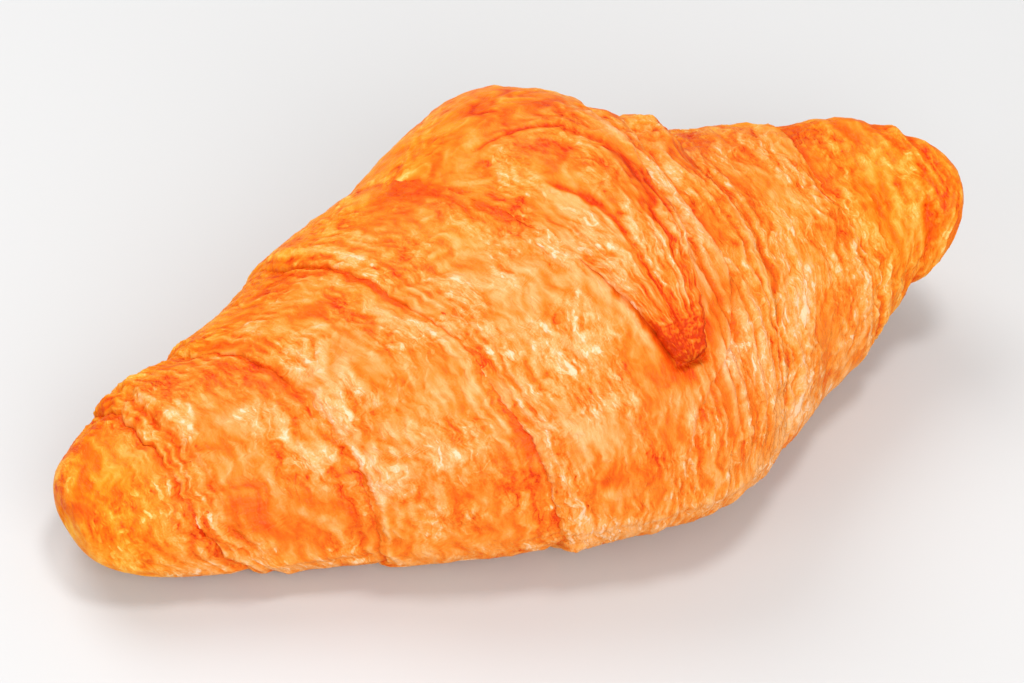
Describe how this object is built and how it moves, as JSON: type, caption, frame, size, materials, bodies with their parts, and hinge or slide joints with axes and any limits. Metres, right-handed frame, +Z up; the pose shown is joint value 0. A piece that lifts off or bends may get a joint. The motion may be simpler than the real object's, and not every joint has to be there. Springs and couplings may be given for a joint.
{
  "type": "croissant",
  "caption": "Straight baked croissant: a spindle of rolled, laminated dough with stepped spiral edges, a tapering tongue over its front and a flat underside.",
  "frame": {"origin": "centre of the bounding box in plan, on the flat underside that the croissant rests on", "axes": "+X along the roll towards the shorter, raised tip; -Y towards the front, where the dough's tongue ends; +Z up"},
  "size_m": [0.165, 0.0918, 0.0559],
  "materials": {
    "baked_crust": "egg-washed crust baked golden to red-brown, soft satin sheen"
  },
  "bodies": {
    "root": {"croissant": "baked_crust"}
  },
  "joints": []
}
